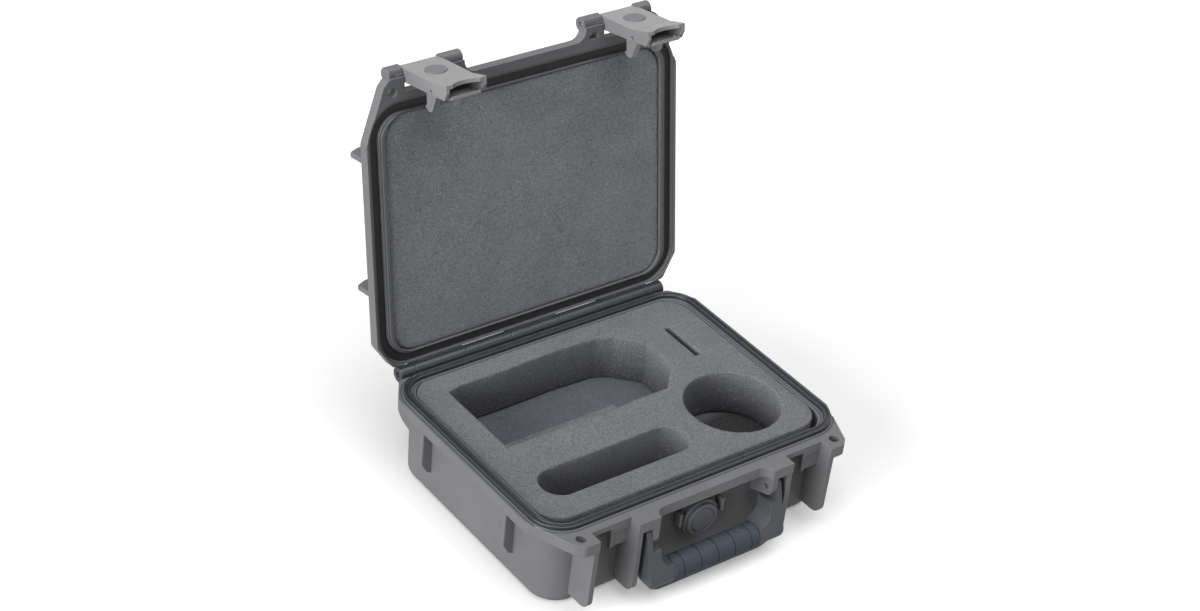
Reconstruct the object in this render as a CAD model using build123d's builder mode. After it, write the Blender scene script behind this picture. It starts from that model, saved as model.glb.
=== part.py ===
from build123d import *
from math import radians, tan
import os

# Audio recorder case: moulded base and lid on a pin hinge, two trigger latches,
# a fold-down handle, a vent valve and cut foam.
# Frame: X right, -Y front (handle side), +Y hinge side, +Z up.
# Origin: centre of the flat underside of the base. Millimetres throughout.
# Everything on the lid is drawn with the lid closed and then turned open.

# Base tub
base_h = 71.0            # underside to the flat rim ledge
wall_x = 126.0           # half width over the walls, at the rim
wall_y = 96.0            # half depth over the walls, at the rim
wall_t = 4.0             # wall
floor_t = 4.0            # floor
draft = 1.5              # wall draft, degrees
tub_r = 24.0             # upright corners, outside
tub_foot_r = 9.0         # rounding round the underside

# Rim flange, its chamfered corners and padlock ears
rim_side = 8.6           # rim beyond the side walls
rim_rear = 4.3           # rim beyond the back wall
rim_ahead = 12.4         # rim beyond the front wall, between the handle ears
bay_ahead = 10.5         # rim beyond the front wall, in the latch bays
band_h = 8.5             # rim flange depth
chamfer_back_len = 19.3  # back corner chamfer, along the side
chamfer_back_wide = 12.6 # back corner chamfer, along the back
chamfer_front_len = 43.6 # front corner chamfer, along the side, to the ear's front
ear_wide = 17.0          # padlock ear, from the bay outwards
ear_ahead = 9.2          # padlock ear beyond the rim
rim_corner_r = 5.0       # rounding of the rim corners
padlock_in = 10.0        # padlock hole centre, from the bay
padlock_back = 9.3       # padlock hole centre, behind the ear's front
padlock_r = 3.75
padlock_edge = 0.6       # chamfer round the padlock hole
flare_r = 7.6            # sweep from the rim out to the handle ear
bridge_ahead = 8.2       # rim beyond its middle part, over the handle ears

# Sealing tongue on the base rim
ring_out_x = 2.0         # tongue centre line beyond the side walls
ring_out_y = -0.1        # tongue centre line beyond the front and back walls
ring_r = 22.0            # corner radius of the centre line
tongue_w = 5.5
tongue_h = 3.2
tongue_slot_w = 1.7      # slot along the top of the tongue
tongue_slot_d = 1.1
tongue_lip_r = 0.7
ledge_gap = 1.1          # tongue to the fine groove outside it
ledge_groove_w = 0.9
ledge_groove_d = 0.9

# Lid
seam = 0.3               # gap between base and lid rims when closed
lid_h = 31.0             # lid height above its rim face
lid_t = 3.2              # lid wall
lid_ledge_x = 8.0        # tongue centre line to the lid's hollow, at the sides
lid_ledge_y = 4.3        # tongue centre line to the lid's hollow, front and back
lid_inner_r = 18.0
lid_crown_r = 19.0       # rounding between the lid's sides and its top
lid_band_h = 8.5
seal_slot_w = 7.3        # groove that takes the tongue
seal_slot_d = 5.4
gasket_h = 1.8
gasket_w = 6.7
lid_step_w = 1.6         # shallow step beside the groove
lid_step_d = 0.8

# Hinge
hinge_out = 6.2          # hinge axis behind the rim
barrel_r = 5.6
hinge_gap = 0.4          # between neighbouring knuckles
centre_knuckle = 43.8    # knuckle lengths, from the centre out
base_knuckle = 40.6
lid_knuckle = 43.9
end_knuckle = 12.6
hinge_pin_r = 2.1
pin_clear = 0.05         # running clearance on every pin, radial
hinge_pin_inset = 1.5    # pin end below the barrel end
web_drop = 9.0           # webs under the barrel, below and above the rims
thumb_w = 10.0           # small raised tab on the centre knuckle
thumb_proud = 0.6
lid_open_angle = 100.0

# Side ribs
rib_y = 51.0             # ribs in front of and behind the middle
lid_rib_shift = 9.0      # lid ribs nearer the latches than the base ribs
rib_t = 4.2
rib_len = 45.0           # base ribs, down from the rim
rib_inset = 0.8          # rib face behind the rim edge
rib_r = 1.2
lid_rib_top = 28.0       # top of the lid ribs above the lid's rim face
rear_rib_len = 35.0
rear_rib_t = 6.5
rear_rib_out = 3.7       # rear ribs beyond the rim

# Latch bays on the base
bay_x = 85.2             # bay centre
bay_w = 33.6
post_t = 4.0             # outer post
post_foot = 10.5         # lower end of the post
post_ahead = 8.9         # post beyond the rim
post_taper = 1.4         # post front further back at its foot
foot_r = 8.0             # rounded lower ends of posts and fins
fin_t = 4.4              # inner fin
fin_foot = 10.0
fin_ahead = 7.6          # fin beyond the rim
lip_t = 3.3
lip_len = 21.0           # hanging lip, down from the rim
lip_wide = 16.0
bead_w = 2.4             # raised bead round the arch
bead_proud = 1.0
arch_ledge = 4.6         # rim left over the arch
arch_r = 6.0

# Latches
pivot_ahead = 10.7        # pivot beyond the rim
pivot_up = 7.3           # pivot above the lid's rim face
latch_boss_r = 5.4       # lid ears round the pivot
latch_side_gap = 0.5     # latch to post, fin and ears
latch_len = 58.6         # pivot to the end of the plate
latch_plate_t = 3.0
latch_outer = 3.9        # plate face in front of the pivot
latch_flare = 3.0        # end of the plate swept outwards
latch_flare_len = 17.0
latch_wall_t = 2.6
latch_wall_deep = 9.8    # side walls at the pivot, behind the plate face
latch_wall_low = 8.6     # side walls at the end
latch_pin_r = 2.0
latch_swing = 85.0
latch_notch_w = 22.0
latch_notch_d = 4.6
disc_r = 8.0
disc_t = 1.4
disc_proud = 0.6
disc_down = 21.1         # disc centre below the pivot
ear_outer_w = 10.8       # outer lid ear
ear_inner_w = 16.0       # inner lid ear
ear_web_t = 5.2
ear_sweep = 9.0          # sweep from the lid's rim to the ear
ear_wall = 2.6           # round the window in the inner ear

# Latch triggers
trigger_back = 6.9       # trigger axis behind the plate face
trigger_down = 39.6      # trigger axis below the pivot
trigger_barrel_r = 3.4
trigger_pin_r = 1.5
trigger_gap = 0.4        # trigger to latch side walls
trigger_swing = 14.0
hook_gap = 0.5           # hook to lip
hook_nib = 1.8           # hook point behind the lip
hook_deep = 4.2          # hook behind the lip
hook_w = 4.6             # one hook
hook_drop = 6.0          # hook below the lip
finger_t = 2.6           # finger tongue
tongue_wide = 23.0
tongue_len = 19.0        # below the trigger axis
tongue_bow = 2.2         # bent towards the case
leaf_t = 0.5
leaf_w = 9.0
leaf_len = 12.5

# Handle
handle_ahead = 1.4       # handle axis beyond the rim
handle_drop = 17.6       # handle axis below the rim
handle_ear_t = 4.7
handle_side_gap = 0.4
handle_arm_t = 4.2
handle_fin_gap = 4.5     # arm to the inner fin
handle_step = 3.0        # wide part of the arm below the ear
handle_arm_w = 10.9      # arm below the ear
grip_out = 7.2           # grip axis in front of the handle axis
grip_drop = 33.4         # grip axis below the handle axis
grip_r = 9.5
grip_end = 21.5          # grip end to the arm's outer face
core_r = 6.5
handle_arm_r = 6.3
handle_end_r = 8.6
handle_corner_r = 17.0   # outer corners of the handle
gusset = 10.0            # corner fillet between arm and bar
web_t = 3.2
web_under = 14.0         # web below the grip axis
grip_groove_pitch = 15.0
grip_groove_w = 1.2
grip_groove_d = 0.7
handle_pin_r = 2.2
handle_swing = 85.0

# Vent valve
valve_drop = 32.0        # valve axis below the rim
valve_pad_r = 17.0
valve_pad_proud = 1.6
valve_flange_r = 15.4
valve_flange_t = 4.6
valve_stem_r = 6.8
valve_hole_clear = 0.2
valve_bore_r = 4.0
valve_cap_r = 13.0
valve_cap_t = 2.6
valve_ring_r = 10.2
valve_ring_w = 1.0
valve_ring_d = 0.6
valve_nut_r = 10.0
valve_nut_t = 3.2
valve_seat_d = 0.6
oring_r = 0.9
oring_ring_r = 10.6
oring_clear = 0.1
membrane_t = 0.6
membrane_seat = 1.2
membrane_rim = 1.6       # seat beyond the bore
vent_w = 8.0
vent_h = 2.4
vent_d = 1.2
tab_x = 18.6             # guards beside the valve
tab_w = 2.4
tab_h = 11.0
tab_up = 5.0             # guard centres above the valve's
tab_proud = 5.0

# Foam
foam_gap = 0.4           # foam to the walls
foam_split = 34.0        # underside of the cut layer
foam_layer_gap = 0.3
finger_gap = 6.0         # foam to the front wall
lid_foam_recess = 2.0
pocket_w = 164.0         # recorder pocket
pocket_d = 76.5
pocket_x = -16.0         # its middle
pocket_y = 36.25
riser_h = 5.0
riser_w = 100.0
riser_d = 34.0
riser_x = -24.0          # its middle
riser_back = 20.0        # its middle, behind the pocket's front
hole_x = 75.8
hole_y = -37.8
hole_r = 36.0
stadium_x = -40.5
stadium_len = 95.0
stadium_y = -50.5
stadium_r = 15.0
card_x = 90.4
card_y = 40.5
card_w = 5.2
card_len = 39.0

# Derived values
slope = tan(radians(draft))
cavity_x = wall_x - wall_t
cavity_y = wall_y - wall_t
cavity_r = tub_r - wall_t
rim_x = wall_x + rim_side
rim_back = wall_y + rim_rear
rim_front = wall_y + rim_ahead
bay_edge = wall_y + bay_ahead
bridge_y = rim_front + bridge_ahead
ring_x = wall_x + ring_out_x
ring_y = wall_y + ring_out_y
post_in = bay_x + bay_w / 2
fin_out = bay_x - bay_w / 2
fin_in = fin_out - fin_t
ear_x = post_in + ear_wide
ear_front = rim_front + ear_ahead
padlock_x = post_in + padlock_in
padlock_y = ear_front - padlock_back
hinge_y = rim_back + hinge_out
hinge_z = base_h + seam / 2
lid_z = base_h + seam
lid_inner_x = ring_x - lid_ledge_x
lid_inner_y = ring_y - lid_ledge_y
knuckle_c = centre_knuckle / 2
knuckle_b = knuckle_c + base_knuckle
knuckle_a = knuckle_b + lid_knuckle
knuckle_end = knuckle_a + end_knuckle
pivot_y = rim_front + pivot_ahead
pivot_z = lid_z + pivot_up
latch_front = pivot_y + latch_outer
latch_end = pivot_z - latch_len
latch_w = bay_w - 2 * latch_side_gap
disc_z = pivot_z - disc_down
trigger_y = latch_front - trigger_back
trigger_z = pivot_z - trigger_down
lip_low = base_h - lip_len
handle_pivot_y = rim_front + handle_ahead
handle_pivot_z = base_h - handle_drop
handle_ear_r = bridge_y - handle_pivot_y
grip_y = handle_pivot_y + grip_out
grip_z = handle_pivot_z - grip_drop
arm_x2 = fin_in - handle_fin_gap
arm_x1 = arm_x2 - handle_arm_t
handle_ear_out = arm_x1 - handle_side_gap
handle_ear_in = handle_ear_out - handle_ear_t
arm_in = arm_x2 - handle_arm_w
grip_half = arm_x2 - grip_end
valve_z = base_h - valve_drop
valve_pad_y = wall_y + valve_pad_proud
valve_seat_y = cavity_y - valve_drop * slope - valve_seat_d
valve_stem_end = valve_seat_y - valve_nut_t
foam_top = base_h
foam_front = cavity_y - finger_gap
pocket_left = pocket_x - pocket_w / 2
pocket_right = pocket_x + pocket_w / 2
pocket_front = pocket_y - pocket_d / 2
pocket_back = pocket_y + pocket_d / 2
lid_ear_in = fin_out - ear_inner_w
lid_ear_out = post_in + ear_outer_w
hinge_axis = Axis((0, hinge_y, hinge_z), (1, 0, 0))
os.makedirs("parts", exist_ok=True)


def turned_open(piece):
    """A piece drawn with the lid closed, turned with the lid to its open stop."""
    return piece.rotate(hinge_axis, -lid_open_angle)


def write(piece, name):
    piece.label = name
    export_step(piece, "parts/" + name + ".step")


def tapered(half_x, front, back, radius, top_z, low_z, foot_r=0.0):
    """A block with rounded upright corners that follows the wall draft; sizes are at the rim."""
    with BuildPart(mode=Mode.PRIVATE) as block:
        for z in (top_z, low_z):
            d = (base_h - z) * slope
            with BuildSketch(Plane.XY.offset(z)):
                with Locations((0, (back - front) / 2)):
                    RectangleRounded(2 * (half_x - d), front + back - 2 * d, radius - d)
        loft(ruled=True)
        if foot_r > 0:
            fillet(block.faces().sort_by(Axis.Z)[0].edges(), foot_r)
    return block.part


def rod(radius, x1, x2, y, z):
    """A round bar along X."""
    with BuildPart(mode=Mode.PRIVATE) as bar:
        with BuildSketch(Plane.YZ.offset(x1)):
            with Locations((y, z)):
                Circle(radius)
        extrude(amount=x2 - x1)
    return bar.part


def ring_sketch(width, z):
    """A band of the given width along the sealing line."""
    h = width / 2
    with BuildSketch(Plane.XY.offset(z), mode=Mode.PRIVATE) as band:
        RectangleRounded(2 * (ring_x + h), 2 * (ring_y + h), ring_r + h)
        RectangleRounded(2 * (ring_x - h), 2 * (ring_y - h), ring_r - h, mode=Mode.SUBTRACT)
    return band.sketch


def rim_sketch(z, ear_in, ear_y, sweep):
    """Rim outline with chamfered corners and padlock ears; it sweeps out to a step from ear_in to the bay."""
    turn = sweep / 2 ** 0.5
    with BuildSketch(Plane.XY.offset(z), mode=Mode.PRIVATE) as plan:
        with BuildLine():
            Polyline(
                (ear_in - sweep, -rim_front),
                (0, -rim_front),
                (0, rim_back),
                (rim_x - chamfer_back_wide, rim_back),
                (rim_x, rim_back - chamfer_back_len),
                (rim_x, -ear_front + chamfer_front_len),
                (ear_x, -ear_front + rim_corner_r),
                (ear_x - rim_corner_r, -ear_front),
                (post_in, -ear_front),
                (post_in, -bay_edge),
                (fin_out, -bay_edge),
                (fin_out, -ear_y),
                (ear_in, -ear_y),
                (ear_in, -rim_front - sweep),
            )
            ThreePointArc(
                (ear_in, -rim_front - sweep),
                (ear_in - sweep + turn, -rim_front - sweep + turn),
                (ear_in - sweep, -rim_front),
            )
        make_face()
        mirror(about=Plane.YZ)
    return plan.sketch


def round_rim(z):
    """Upright edges of the rim's side and back corners, for rounding."""
    def chosen(edge):
        c = edge.center()
        side = abs(abs(c.X) - rim_x) < 0.1
        back = abs(abs(c.X) - rim_x + chamfer_back_wide) < 0.1 and c.Y > 0
        ear = abs(abs(c.X) - ear_x) < 0.1 or abs(abs(c.X) - ear_x + rim_corner_r) < 0.1
        return abs(c.Z - z) < 0.1 and (side or back or (ear and c.Y < 0))
    return chosen


def side_rib(half_x, inner_x, top_z, tip_z, tip_in, root_z, y):
    """A rib across a side wall, ending in a slanted tip."""
    with BuildPart(mode=Mode.PRIVATE) as rib:
        with BuildSketch(Plane.XZ.offset(-y - rib_t / 2)):
            with BuildLine():
                Polyline(
                    (inner_x, top_z),
                    (half_x, top_z),
                    (half_x, tip_z + (top_z - tip_z) / 5),
                    (half_x - tip_in, tip_z),
                    (inner_x, root_z),
                    close=True,
                )
            make_face()
        extrude(amount=rib_t)
        fillet(rib.faces().sort_by(Axis.X)[-1].edges().filter_by(Axis.Z), rib_r)
    return rib.part


def hanging_plate(x, thick, front, foot, taper, back):
    """An upright plate below the rim, with a rounded foot."""
    with BuildPart(mode=Mode.PRIVATE) as plate:
        with BuildSketch(Plane.YZ.offset(x)):
            with BuildLine():
                Polyline(
                    (-back, base_h - 1),
                    (-front, base_h - 1),
                    (-front + taper, foot),
                    (-back, foot),
                    close=True,
                )
            make_face()
        extrude(amount=thick)
        fillet(plate.edges().filter_by(Axis.X).group_by(Axis.Z)[0].sort_by(Axis.Y)[0], foot_r)
    return plate.part


# Detail under one latch and one handle ear, right side; the left one is its mirror image
with BuildPart() as front_detail:
    add(hanging_plate(post_in, post_t, rim_front + post_ahead, post_foot, post_taper, cavity_y - tub_foot_r))
    add(hanging_plate(fin_in, fin_t, rim_front + fin_ahead, fin_foot, 0, cavity_y))
    # Handle ear
    with BuildSketch(Plane.YZ.offset(handle_ear_in)):
        with Locations((-handle_pivot_y, handle_pivot_z)):
            Circle(handle_ear_r)
        with BuildLine():
            Polyline(
                (-bridge_y, handle_pivot_z),
                (-bridge_y, base_h - 1),
                (-cavity_y, base_h - 1),
                (-cavity_y, handle_pivot_z - 2 * handle_ear_r),
                (-handle_pivot_y, handle_pivot_z - handle_ear_r),
                close=True,
            )
        make_face()
    extrude(amount=handle_ear_t)
    with BuildSketch(Plane.YZ.offset(handle_ear_in)):
        with Locations((-handle_pivot_y, handle_pivot_z)):
            Circle(handle_pin_r + pin_clear)
    extrude(amount=handle_ear_t, mode=Mode.SUBTRACT)

# Catch in a latch bay: the hanging lip that the hook holds, with a raised bead along its free edge
lip_in = post_in - lip_wide
with BuildPart() as catch:
    for x1, x2, face in ((lip_in, post_in, bay_edge - bead_proud), (lip_in, lip_in + bead_w, bay_edge)):
        with BuildSketch(Plane.YZ.offset(x1)):
            with Locations((-bay_edge + lip_t, lip_low)):
                Rectangle(face - bay_edge + lip_t, lip_len - 1, align=(Align.MAX, Align.MIN))
        extrude(amount=x2 - x1)

# Arch cut out of the rim beside the lip
with BuildPart() as arch:
    with BuildSketch(Plane.XZ.offset(wall_y)):
        with Locations((fin_out, base_h - arch_ledge)):
            Rectangle(lip_in - fin_out, 2 * band_h, align=(Align.MIN, Align.MAX))
    extrude(amount=bay_ahead + 1)
    fillet(arch.edges().filter_by(Axis.Y).group_by(Axis.Z)[-1].sort_by(Axis.X)[0], arch_r)

# Rib under the hinge end, right side
with BuildPart() as rear_rib:
    with BuildSketch(Plane.YZ.offset(knuckle_end - 0.4 - rear_rib_t)):
        with BuildLine():
            Polyline(
                (cavity_y - wall_t, base_h - 2),
                (rim_back + rear_rib_out, base_h - 2),
                (rim_back + rear_rib_out, base_h - rear_rib_len + 5),
                (rim_back + rear_rib_out - 6, base_h - rear_rib_len),
                (cavity_y - wall_t, base_h - rear_rib_len - 3),
                close=True,
            )
        make_face()
    extrude(amount=rear_rib_t)

# Base knuckles, right side: one at the end and one between centre and lid knuckle
with BuildPart() as base_knuckles:
    for x1, x2 in ((knuckle_c, knuckle_b), (knuckle_a, knuckle_end)):
        x1 = x1 + hinge_gap / 2
        x2 = x2 - hinge_gap / 2 if x2 < knuckle_end else x2
        with BuildSketch(Plane.YZ.offset(x1)):
            with Locations((hinge_y, hinge_z)):
                Circle(barrel_r)
            with BuildLine():
                Polyline(
                    (hinge_y - 1, hinge_z - barrel_r),
                    (cavity_y + 1, base_h - band_h - web_drop),
                    (cavity_y + 1, base_h - 0.4),
                    (hinge_y - 1, base_h - 0.4),
                    close=True,
                )
            make_face()
        extrude(amount=x2 - x1)
    with BuildSketch(Plane.YZ.offset(knuckle_c)):
        with Locations((hinge_y, hinge_z)):
            Circle(hinge_pin_r + pin_clear)
    extrude(amount=knuckle_end, mode=Mode.SUBTRACT)

# Base shell
with BuildPart() as base_shell:
    add(tapered(wall_x, wall_y, wall_y, tub_r, base_h, 0.0, tub_foot_r))
    add(rim_sketch(base_h - band_h, handle_ear_in, bridge_y, flare_r))
    extrude(amount=band_h)
    fillet(base_shell.edges().filter_by(Axis.Z).filter_by(round_rim(base_h - band_h / 2)), rim_corner_r)
    add(front_detail.part)
    mirror(front_detail.part, about=Plane.YZ)
    for across in (0, -2 * bay_x):
        add(arch.part.translate((across, 0, 0)), mode=Mode.SUBTRACT)
        add(catch.part.translate((across, 0, 0)))
    for y in (-rib_y, rib_y):
        rib = side_rib(rim_x - rib_inset, cavity_x, base_h - 2, base_h - rib_len, 5, base_h - rib_len - 4, y)
        add(rib)
        mirror(rib, about=Plane.YZ)
    add(rear_rib.part)
    mirror(rear_rib.part, about=Plane.YZ)
    add(base_knuckles.part)
    mirror(base_knuckles.part, about=Plane.YZ)
    # Pad and two guards round the valve
    with BuildSketch(Plane.XZ.offset(cavity_y)):
        with Locations((0, valve_z)):
            Circle(valve_pad_r)
    extrude(amount=valve_pad_y - cavity_y)
    with BuildSketch(Plane.XZ.offset(cavity_y)):
        with Locations((-tab_x, valve_z + tab_up), (tab_x, valve_z + tab_up)):
            RectangleRounded(tab_w, tab_h, tab_w / 3)
    extrude(amount=valve_pad_y + tab_proud - cavity_y)
    # Hollow, and the flat seat that the valve nut bears on
    add(tapered(cavity_x, cavity_y, cavity_y, cavity_r, base_h + 5, floor_t, floor_t), mode=Mode.SUBTRACT)
    with BuildSketch(Plane.XZ.offset(valve_seat_y)):
        with Locations((0, valve_z)):
            Circle(valve_nut_r + 2)
    extrude(amount=wall_t)
    # Valve hole
    with BuildSketch(Plane.XZ.offset(wall_y - 2 * wall_t)):
        with Locations((0, valve_z)):
            Circle(valve_stem_r + valve_hole_clear)
    extrude(amount=3 * wall_t, mode=Mode.SUBTRACT)
    # Padlock holes
    with BuildSketch(Plane.XY.offset(base_h - band_h - 1)):
        with Locations((-padlock_x, -padlock_y), (padlock_x, -padlock_y)):
            Circle(padlock_r)
    extrude(amount=band_h + 2, mode=Mode.SUBTRACT)
    # Sealing tongue with its slot, and the fine groove outside it
    add(ring_sketch(tongue_w, base_h - 0.5))
    extrude(amount=tongue_h + 0.5)
    add(ring_sketch(tongue_slot_w, base_h + tongue_h - tongue_slot_d))
    extrude(amount=tongue_slot_d, mode=Mode.SUBTRACT)
    groove_out = tongue_w + 2 * ledge_gap + 2 * ledge_groove_w
    add(ring_sketch(groove_out, base_h - ledge_groove_d) - ring_sketch(tongue_w + 2 * ledge_gap, base_h - ledge_groove_d))
    extrude(amount=ledge_groove_d, mode=Mode.SUBTRACT)
    fillet(base_shell.faces().filter_by(Axis.Z).group_by(Axis.Z)[-1].edges(), tongue_lip_r)


# Lid: ears, knuckles and ribs of the right side; the left ones are their mirror images
with BuildPart() as lid_detail:
    # Web and pivot boss of each latch ear
    for x1, x2, web_x in (
        (post_in, lid_ear_out, post_in),
        (lid_ear_in, fin_out, fin_out - ear_web_t),
    ):
        add(rod(latch_boss_r, x1, x2, -pivot_y, pivot_z))
        with BuildSketch(Plane.YZ.offset(web_x)):
            with BuildLine():
                Polyline(
                    (-pivot_y - 0.5, pivot_z + latch_boss_r),
                    (-pivot_y + 2, pivot_z + latch_boss_r + 0.6),
                    (-lid_inner_y - 2, lid_z + lid_h - lid_crown_r + 4),
                    (-lid_inner_y - 1, lid_z + 1),
                    (-pivot_y - 0.5, lid_z + 1.4),
                    close=True,
                )
            make_face()
        extrude(amount=ear_web_t)
    # Knuckle between the side and the centre
    add(rod(barrel_r, knuckle_b + hinge_gap / 2, knuckle_a - hinge_gap / 2, hinge_y, hinge_z))
    # Half of the centre knuckle
    add(rod(barrel_r, 0, knuckle_c - hinge_gap / 2, hinge_y, hinge_z))
    for x1, x2 in ((0, knuckle_c - hinge_gap / 2), (knuckle_b + hinge_gap / 2, knuckle_a - hinge_gap / 2)):
        with BuildSketch(Plane.YZ.offset(x1)):
            with BuildLine():
                Polyline(
                    (hinge_y - 1, hinge_z + barrel_r),
                    (lid_inner_y + 1, lid_z + lid_band_h + web_drop),
                    (lid_inner_y + 1, lid_z + 0.4),
                    (hinge_y - 1, lid_z + 0.4),
                    close=True,
                )
            make_face()
        extrude(amount=x2 - x1)
    # Raised tab on the centre knuckle
    with BuildSketch(Plane.XY.offset(hinge_z)):
        with Locations((0, hinge_y)):
            Rectangle(thumb_w / 2, barrel_r, align=(Align.MIN, Align.MIN))
    extrude(amount=barrel_r + thumb_proud)
    # Side ribs
    for y in (-rib_y, rib_y):
        add(side_rib(rim_x - rib_inset, lid_inner_x - 1, lid_z + lid_band_h - 1, lid_z + lid_rib_top, 8,
                     lid_z + lid_rib_top + 1, y - lid_rib_shift))

# Lid shell
with BuildPart() as lid_shell:
    with BuildSketch(Plane.XY.offset(lid_z)):
        RectangleRounded(2 * (lid_inner_x + lid_t), 2 * (lid_inner_y + lid_t), lid_inner_r + lid_t)
    extrude(amount=lid_h)
    fillet(lid_shell.faces().sort_by(Axis.Z)[-1].edges(), lid_crown_r)
    add(rim_sketch(lid_z, lid_ear_in, pivot_y - 1, ear_sweep))
    extrude(amount=lid_band_h)
    fillet(lid_shell.edges().filter_by(Axis.Z).filter_by(round_rim(lid_z + lid_band_h / 2)), rim_corner_r)
    add(lid_detail.part)
    mirror(lid_detail.part, about=Plane.YZ)
    # Hollow
    with BuildPart(mode=Mode.PRIVATE) as lid_hollow:
        with BuildSketch(Plane.XY.offset(lid_z - 1)):
            RectangleRounded(2 * lid_inner_x, 2 * lid_inner_y, lid_inner_r)
        extrude(amount=lid_h - lid_t + 1)
        fillet(lid_hollow.faces().sort_by(Axis.Z)[-1].edges(), lid_crown_r - lid_t)
    add(lid_hollow.part, mode=Mode.SUBTRACT)
    # Groove for the tongue and the gasket
    add(ring_sketch(seal_slot_w, lid_z))
    extrude(amount=seal_slot_d, mode=Mode.SUBTRACT)
    # Shallow outer step of the rim face, and the window in each inner ear
    step_w = seal_slot_w + 2 * lid_step_w
    add(ring_sketch(step_w, lid_z) - ring_sketch(seal_slot_w, lid_z))
    extrude(amount=lid_step_d, mode=Mode.SUBTRACT)
    window_y = (rim_front + pivot_y - latch_boss_r) / 2
    with BuildSketch(Plane.XY.offset(lid_z)):
        for side in (-1, 1):
            with Locations((side * (lid_ear_in + (ear_inner_w - ear_web_t + ear_wall) / 2), -window_y)):
                Rectangle(ear_inner_w - ear_web_t - ear_wall, pivot_y - latch_boss_r - rim_front)
    extrude(amount=lid_band_h, mode=Mode.SUBTRACT)
    # Bores for the hinge pin and the latch pins
    add(rod(hinge_pin_r + pin_clear, -knuckle_end, knuckle_end, hinge_y, hinge_z), mode=Mode.SUBTRACT)
    for side in (-1, 1):
        reach = sorted((side * (lid_ear_in - 1), side * (lid_ear_out - 1.5)))
        add(rod(latch_pin_r + pin_clear, *reach, -pivot_y, pivot_z), mode=Mode.SUBTRACT)
    # Padlock holes
    with BuildSketch(Plane.XY.offset(lid_z)):
        with Locations((-padlock_x, -padlock_y), (padlock_x, -padlock_y)):
            Circle(padlock_r)
    extrude(amount=lid_band_h + 6, mode=Mode.SUBTRACT)

with BuildPart() as lid_gasket:
    add(ring_sketch(gasket_w, lid_z + seal_slot_d - gasket_h))
    extrude(amount=gasket_h)

with BuildPart() as lid_foam:
    with BuildSketch(Plane.XY.offset(lid_z + lid_foam_recess)):
        RectangleRounded(
            2 * (lid_inner_x - foam_gap),
            2 * (lid_inner_y - foam_gap),
            lid_inner_r - foam_gap,
        )
    extrude(amount=lid_h - lid_t - foam_gap - lid_foam_recess)
    fillet(lid_foam.faces().sort_by(Axis.Z)[-1].edges(), lid_crown_r - lid_t - foam_gap)

hinge_pin = rod(hinge_pin_r, -knuckle_end + hinge_pin_inset, knuckle_end - hinge_pin_inset, hinge_y, hinge_z)

write(base_shell.part, "base_shell")
write(hinge_pin, "hinge_pin")
write(turned_open(lid_shell.part), "lid_shell")
write(turned_open(lid_gasket.part), "lid_gasket")
write(turned_open(lid_foam.part), "lid_foam")

# Latch, right side
latch_x1 = bay_x - latch_w / 2
latch_x2 = bay_x + latch_w / 2
with BuildPart() as latch:
    with BuildSketch(Plane.YZ.offset(latch_x1)):
        with BuildLine():
            Polyline(
                (-latch_front, pivot_z),
                (-latch_front, latch_end + latch_flare_len),
                (-latch_front - latch_flare, latch_end),
                (-latch_front + latch_plate_t, latch_end),
                (-latch_front + latch_wall_low, latch_end + 3),
                (-latch_front + latch_wall_deep, pivot_z - 8),
                (-latch_front + latch_wall_deep, pivot_z - 2),
                (-pivot_y, pivot_z + latch_outer),
                close=True,
            )
        make_face()
        with Locations((-pivot_y, pivot_z)):
            Circle(latch_outer)
    extrude(amount=latch_w)
    # Hollow behind the plate
    with BuildSketch(Plane.YZ.offset(latch_x1 + latch_wall_t)):
        with BuildLine():
            Polyline(
                (-latch_front + latch_plate_t, pivot_z - latch_boss_r - 1),
                (-latch_front + latch_plate_t, latch_end + latch_flare_len),
                (-latch_front + latch_plate_t - latch_flare, latch_end),
                (-latch_front + 2 * latch_wall_deep, latch_end),
                (-latch_front + 2 * latch_wall_deep, pivot_z - latch_boss_r - 1),
                close=True,
            )
        make_face()
    extrude(amount=latch_w - 2 * latch_wall_t, mode=Mode.SUBTRACT)
    # Arched finger notch in the end of the plate
    notch_r = ((latch_notch_w / 2) ** 2 + latch_notch_d ** 2) / (2 * latch_notch_d)
    with BuildSketch(Plane.XZ.offset(latch_front - latch_plate_t - 0.5)):
        with Locations((bay_x, latch_end + latch_notch_d - notch_r)):
            Circle(notch_r)
    extrude(amount=latch_plate_t + latch_flare + 1, mode=Mode.SUBTRACT)
    # Seat of the round disc
    with BuildSketch(Plane.XZ.offset(latch_front - disc_t + disc_proud)):
        with Locations((bay_x, disc_z)):
            Circle(disc_r + 0.1)
    extrude(amount=disc_t, mode=Mode.SUBTRACT)
    # Pin bores
    add(rod(latch_pin_r + pin_clear, latch_x1, latch_x2, -pivot_y, pivot_z), mode=Mode.SUBTRACT)
    add(rod(trigger_pin_r + pin_clear, latch_x1, latch_x2, -trigger_y, trigger_z), mode=Mode.SUBTRACT)

with BuildPart() as latch_disc:
    with BuildSketch(Plane.XZ.offset(latch_front - disc_t + disc_proud)):
        with Locations((bay_x, disc_z)):
            Circle(disc_r)
    extrude(amount=disc_t)
    fillet(latch_disc.faces().sort_by(Axis.Y)[0].edges(), 0.4)

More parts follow.
